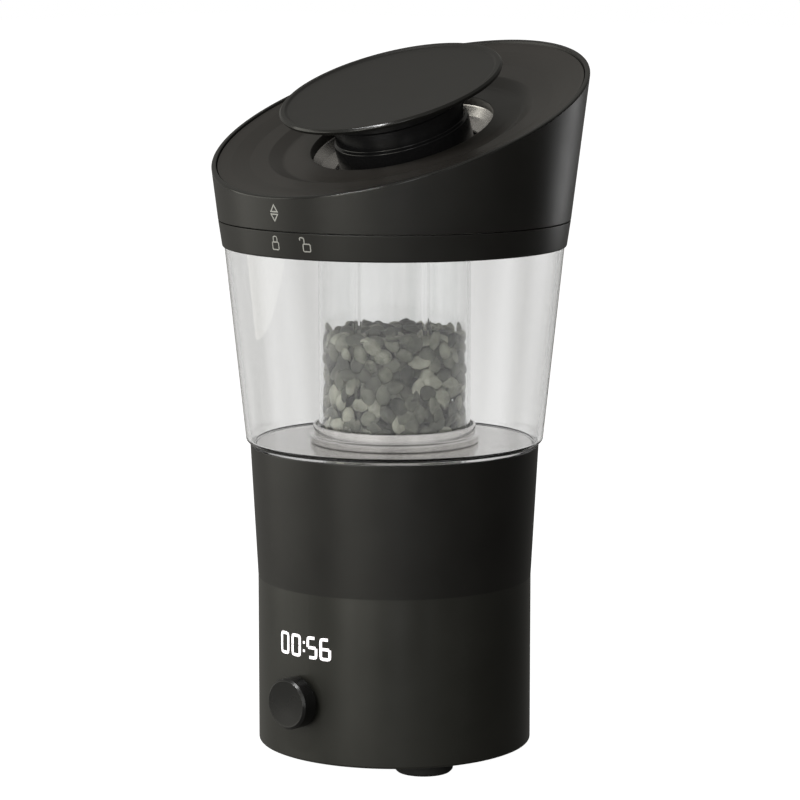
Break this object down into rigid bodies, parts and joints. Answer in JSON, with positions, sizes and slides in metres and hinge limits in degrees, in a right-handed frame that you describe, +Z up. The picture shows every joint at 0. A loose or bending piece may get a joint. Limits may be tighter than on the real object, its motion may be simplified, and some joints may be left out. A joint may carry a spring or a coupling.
{
  "type": "home coffee bean roaster",
  "caption": "Upright hot-air coffee roaster with a glass roasting tube in a clear flared chaff collector, a slanted twist-lock lid with a raised vent disc, a round base, display and knob.",
  "frame": {"origin": "middle of the round base at table level", "axes": "+Z up along the axis of the glass and the base, front with knob and display faces -Y, +X to the right seen from above with the front towards the viewer"},
  "size_m": [0.1806, 0.1808, 0.3421],
  "materials": {
    "housing_plastic": "fine satin texture, charcoal black",
    "cover_plastic": "matt black",
    "foot_rubber": "matt black rubber",
    "polished_steel": "mirror-polished stainless steel",
    "cast_aluminium": "satin",
    "inner_plastic": "heat-resistant, matt",
    "satin_steel": "satin stainless steel",
    "mica": "mica card",
    "motor_steel": "zinc-plated",
    "impeller_plastic": "natural nylon",
    "circuit_board": "green solder mask",
    "display_black": "black",
    "knob_plastic": "fine satin, charcoal black",
    "inlet_plastic": "black",
    "pin_brass": "nickel-plated brass",
    "chamber_glass": "clear borosilicate glass",
    "seal_rubber": "silicone rubber",
    "green_beans": "raw coffee beans, dry skin",
    "collector_clear": "clear moulded shell"
  },
  "bodies": {
    "base": {"base_housing": "housing_plastic", "bottom_cover": "cover_plastic", "foot_front_left": "foot_rubber", "foot_front_right": "foot_rubber", "foot_back": "foot_rubber", "floor_plate": "polished_steel", "throat_ring": "cast_aluminium", "blower_housing": "inner_plastic", "duct_cone": "inner_plastic", "heater_tube": "satin_steel", "heater_former": "mica", "thermocouple_probe": "satin_steel", "thermal_cutoff": "satin_steel", "fan_motor": "motor_steel", "motor_mount": "inner_plastic", "control_board": "circuit_board", "display_module": "display_black", "encoder_body": "motor_steel", "power_board": "circuit_board", "power_inlet": "inlet_plastic", "inlet_pin_1": "pin_brass", "inlet_pin_2": "pin_brass", "inlet_pin_3": "pin_brass"},
    "fan_rotor": {"motor_shaft": "satin_steel", "fan_impeller": "impeller_plastic"},
    "encoder_plunger": {"encoder_plunger": "impeller_plastic"},
    "knob": {"knob": "knob_plastic", "encoder_shaft": "satin_steel"},
    "roast_chamber": {"roast_glass": "chamber_glass", "glass_collar": "polished_steel", "glass_seal": "seal_rubber", "swirl_plate": "satin_steel", "coffee_beans": "green_beans"},
    "chaff_collector": {"collector_body": "collector_clear", "collector_ring": "housing_plastic", "ring_gasket": "seal_rubber"},
    "lid": {"lid_shell": "housing_plastic", "mesh_filter": "satin_steel", "vent_dish": "housing_plastic", "exhaust_throat": "polished_steel", "exhaust_grille": "polished_steel", "vent_hub": "housing_plastic", "vent_disc": "housing_plastic"}
  },
  "joints": [
    {"name": "fan_spin", "type": "hinge", "parent": "base", "child": "fan_rotor", "pos_m": [0, 0, 0.03], "axis": [0, 0, 1], "continuous": true},
    {"name": "knob_press", "type": "slide", "parent": "base", "child": "encoder_plunger", "axis": [0, 1, 0], "range_m": [0, 0.0007], "stiffness_N_per_m": 1500, "springref_m": -0.001},
    {"name": "knob_turn", "type": "hinge", "parent": "encoder_plunger", "child": "knob", "pos_m": [0, -0.066, 0.035], "axis": [0, -1, 0], "continuous": true},
    {"name": "chamber_lift", "type": "slide", "parent": "base", "child": "roast_chamber", "axis": [0, 0, 1], "range_m": [0, 0.12]},
    {"name": "collector_lift", "type": "slide", "parent": "roast_chamber", "child": "chaff_collector", "axis": [0, 0, 1], "range_m": [0, 0.12]},
    {"name": "lid_twist", "type": "hinge", "parent": "chaff_collector", "child": "lid", "pos_m": [0, 0, 0.2596], "axis": [0, 0, 1], "range_deg": [0, 12]}
  ]
}
